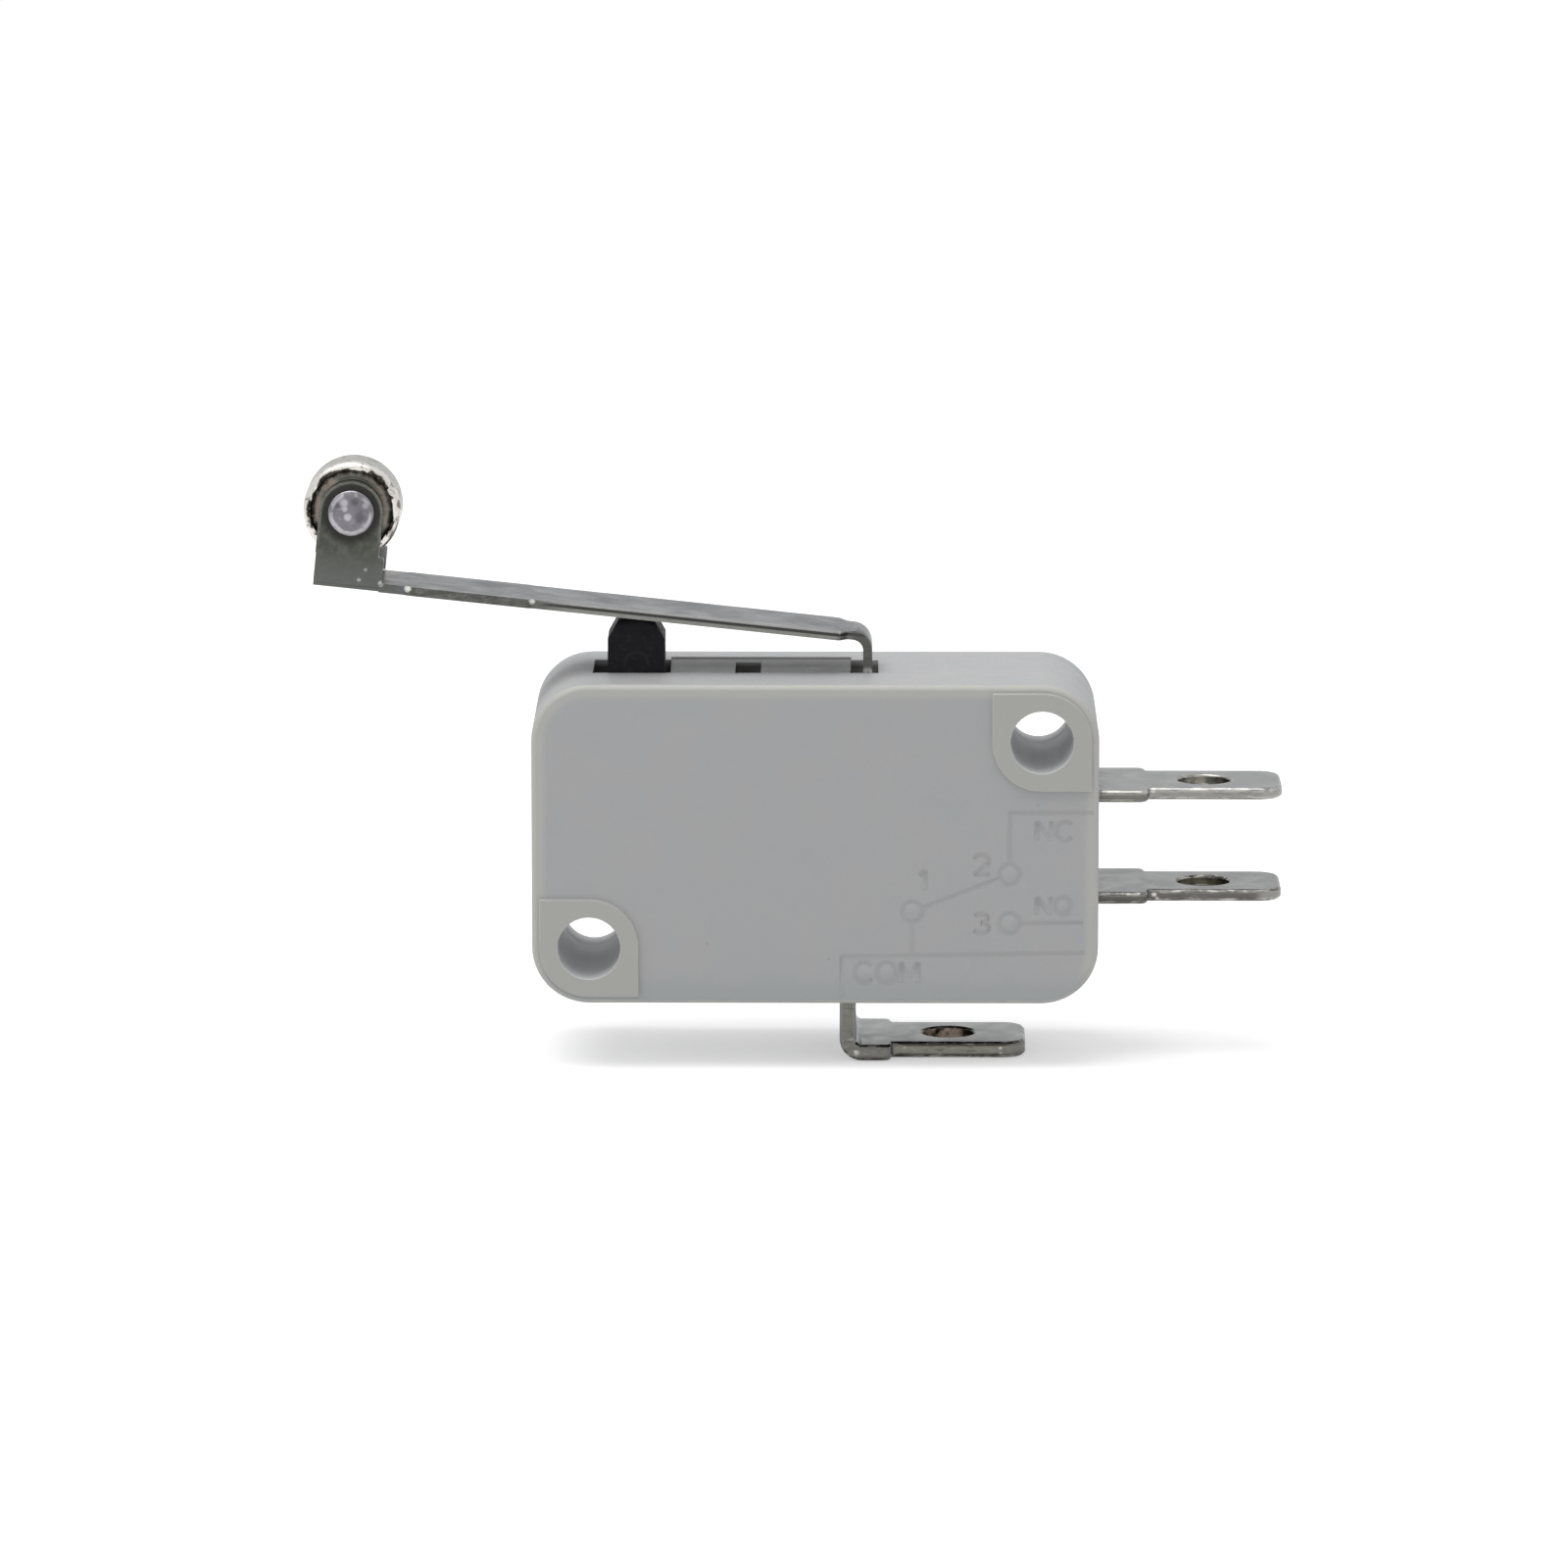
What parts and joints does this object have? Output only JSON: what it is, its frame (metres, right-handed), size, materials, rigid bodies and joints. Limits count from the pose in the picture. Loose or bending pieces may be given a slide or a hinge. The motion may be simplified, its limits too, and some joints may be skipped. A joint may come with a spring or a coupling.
{
  "type": "roller lever micro switch",
  "caption": "Snap-action micro switch in a moulded housing, with a hinged lever and roller over a push plunger, side and bottom tab terminals and through mounting holes.",
  "frame": {"origin": "on the axis of the lower mounting hole, half way through the housing", "axes": "+X towards the two side terminals, +Z towards the plunger and the lever, and the marked face looks along -Y"},
  "size_m": [0.0481, 0.0104, 0.0295],
  "materials": {
    "housing_plastic": "light grey moulded plastic, satin",
    "plunger_plastic": "black moulded plastic, satin",
    "lever_steel": "stamped steel, bright zinc plated",
    "roller_steel": "turned steel, satin",
    "pin_steel": "riveted steel, satin",
    "terminal_brass": "stamped brass, silver plated",
    "bracket_brass": "stamped brass",
    "blade_copper": "copper alloy strip",
    "contact_silver": "silver alloy rivet, bright",
    "spring_steel": "stainless spring wire"
  },
  "bodies": {
    "housing": {"case": "housing_plastic", "cover": "housing_plastic", "nc_terminal": "terminal_brass", "no_terminal": "terminal_brass", "com_terminal": "terminal_brass", "nc_contact": "contact_silver", "no_contact": "contact_silver", "pivot_bracket": "bracket_brass", "bracket_rivet": "bracket_brass"},
    "lever": {"actuator_lever": "lever_steel", "roller_pin": "pin_steel"},
    "roller": {"roller": "roller_steel"},
    "plunger": {"plunger": "plunger_plastic"},
    "inner_lever": {"inner_lever": "lever_steel"},
    "blade": {"moving_blade": "blade_copper", "moving_contact": "contact_silver"},
    "spring": {"coil_spring": "spring_steel"}
  },
  "joints": [
    {"name": "lever_hinge", "type": "hinge", "parent": "housing", "child": "lever", "pos_m": [0.01367, 0, 0.0125], "axis": [0, -1, 0], "range_deg": [0, 9], "stiffness_Nm_per_rad": 0.08, "springref_deg": -5.73},
    {"name": "roller_spin", "type": "hinge", "parent": "lever", "child": "roller", "pos_m": [-0.01165, 0, 0.02114], "axis": [0, 1, 0], "continuous": true},
    {"name": "plunger_slide", "type": "slide", "parent": "housing", "child": "plunger", "axis": [0, 0, -1], "range_m": [0, 0.00179]},
    {"name": "inner_lever_hinge", "type": "hinge", "parent": "housing", "child": "inner_lever", "pos_m": [0.00805, 0, 0.002], "axis": [0, -1, 0], "range_deg": [0, 14.22]},
    {"name": "blade_hinge", "type": "hinge", "parent": "housing", "child": "blade", "pos_m": [0.00835, 0, 0.0047], "axis": [0, 1, 0], "range_deg": [0, 4.7]},
    {"name": "spring_hinge", "type": "hinge", "parent": "blade", "child": "spring", "pos_m": [0.01559, 0, 0.005], "axis": [0, -1, 0], "range_deg": [0, 7.96], "deforming": ["coil_spring"]}
  ],
  "couplings": [
    {"joint": "plunger_slide", "follows": "lever_hinge", "m_per_rad": 0.011416},
    {"joint": "inner_lever_hinge", "follows": "lever_hinge", "ratio": 1.5783},
    {"joint": "blade_hinge", "follows": "lever_hinge", "ratio": 0.52076},
    {"joint": "spring_hinge", "follows": "lever_hinge", "ratio": 0.88347}
  ]
}
